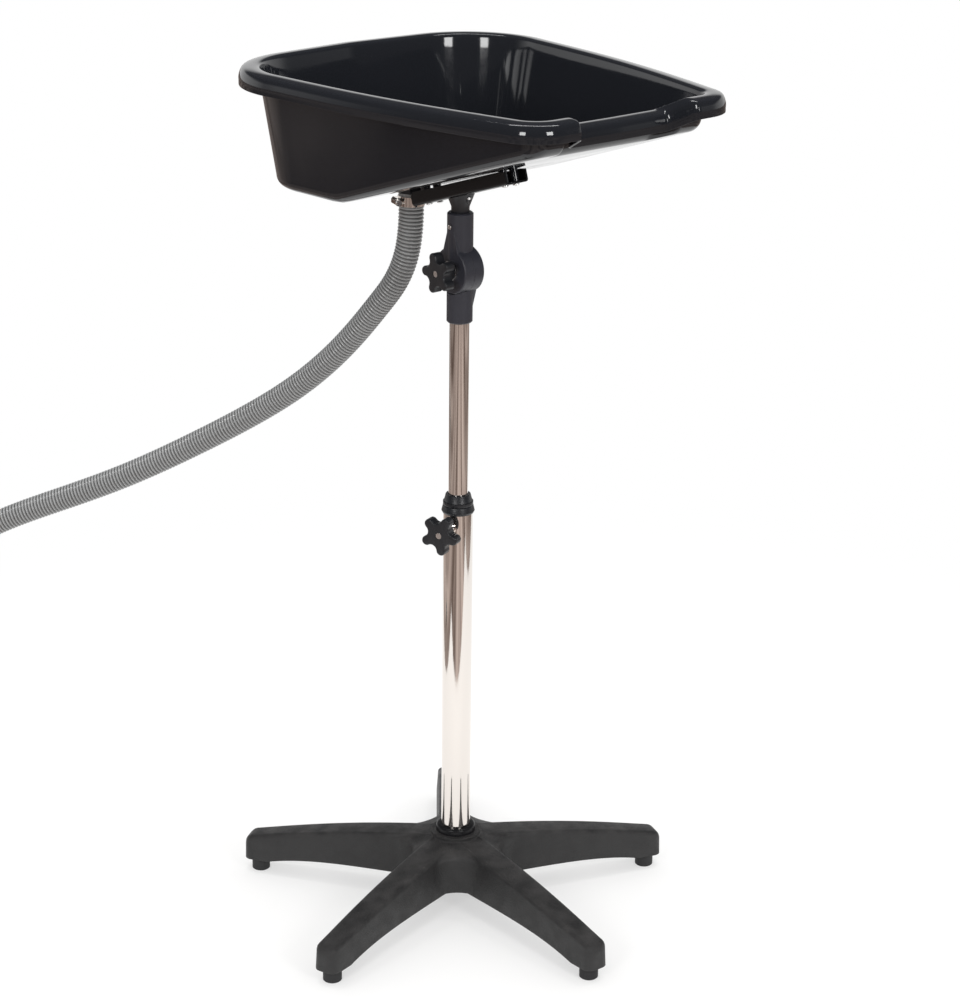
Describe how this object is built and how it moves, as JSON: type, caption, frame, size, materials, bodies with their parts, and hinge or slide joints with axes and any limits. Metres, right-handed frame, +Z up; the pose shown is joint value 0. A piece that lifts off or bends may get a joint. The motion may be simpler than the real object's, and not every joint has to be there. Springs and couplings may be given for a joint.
{
  "type": "portable shampoo basin",
  "caption": "Portable salon shampoo basin: gloss black moulded bowl with a neck rest, on a tilting knuckle, a telescopic chrome column and a five-leg star, with a ribbed drain hose.",
  "frame": {"origin": "centre of the floor plan of the stand and bowl, without the hose, on the floor", "axes": "+Z up, -Y towards the neck rest, +Y towards the deep end with the drain, +X to the left of a person lying back in it"},
  "size_m": [1.0695, 1.0833, 1.1109],
  "materials": {
    "base_black": "matte, fine grain",
    "foot_black": "matte",
    "painted_black": "gloss",
    "bowl_black": "high gloss",
    "knuckle_black": "satin",
    "moulded_black": "semi-matte",
    "drain_black": "semi-matte",
    "rubber_black": "matte",
    "chrome": "polished",
    "zinc_plate": "zinc plated",
    "hose_grey": "semi-gloss"
  },
  "bodies": {
    "base": {"base_star": "base_black", "foot_1": "foot_black", "foot_2": "foot_black", "foot_3": "foot_black", "foot_4": "foot_black", "foot_5": "foot_black", "hub_ring": "painted_black", "tube_plug": "drain_black", "hub_washer": "zinc_plate", "hub_bolt": "zinc_plate", "lower_tube": "chrome", "height_collar": "moulded_black", "clamp_boss": "chrome"},
    "slider": {"guide_bush": "drain_black"},
    "upper_column": {"upper_tube": "chrome", "knuckle_lower": "knuckle_black", "lower_set_screw": "zinc_plate", "pivot_bolt": "zinc_plate"},
    "tilt_head": {"knuckle_upper": "knuckle_black", "upper_set_screw": "zinc_plate", "bracket_channel": "painted_black", "bowl_screw_1": "zinc_plate", "bowl_screw_2": "zinc_plate", "bowl_screw_3": "zinc_plate", "bowl_screw_4": "zinc_plate", "tilt_stem": "moulded_black", "stem_screw_1": "zinc_plate", "stem_screw_2": "zinc_plate", "stem_nut_1": "zinc_plate", "stem_nut_2": "zinc_plate", "bowl_shell": "bowl_black", "drain_strainer": "chrome", "drain_gasket": "rubber_black", "drain_nut": "drain_black", "drain_tail": "drain_black", "drain_hose": "hose_grey", "hose_cuff": "rubber_black", "hose_clamp": "chrome", "hose_clamp_screw": "zinc_plate"},
    "height_clamp_knob": {"height_knob": "moulded_black", "height_knob_stud": "zinc_plate"},
    "tilt_clamp_knob": {"tilt_knob": "moulded_black", "pivot_washer": "zinc_plate"}
  },
  "joints": [
    {"name": "height_slide", "type": "slide", "parent": "base", "child": "slider", "axis": [0, 0, 1], "range_m": [-0.215, 0.13]},
    {"name": "column_swivel", "type": "hinge", "parent": "slider", "child": "upper_column", "pos_m": [0.00285, 0.03274, 0.56], "axis": [0, 0, 1], "continuous": true},
    {"name": "bowl_tilt", "type": "hinge", "parent": "upper_column", "child": "tilt_head", "pos_m": [0.00285, 0.03274, 0.8625], "axis": [1, 0, 0], "range_deg": [-30, 35]},
    {"name": "height_clamp", "type": "hinge", "parent": "base", "child": "height_clamp_knob", "pos_m": [-0.04366, 0.01437, 0.528], "axis": [-0.9301, -0.3673, 0], "continuous": true},
    {"name": "tilt_clamp", "type": "hinge", "parent": "upper_column", "child": "tilt_clamp_knob", "pos_m": [-0.03015, 0.03274, 0.8625], "axis": [-1, 0, 0], "continuous": true}
  ]
}
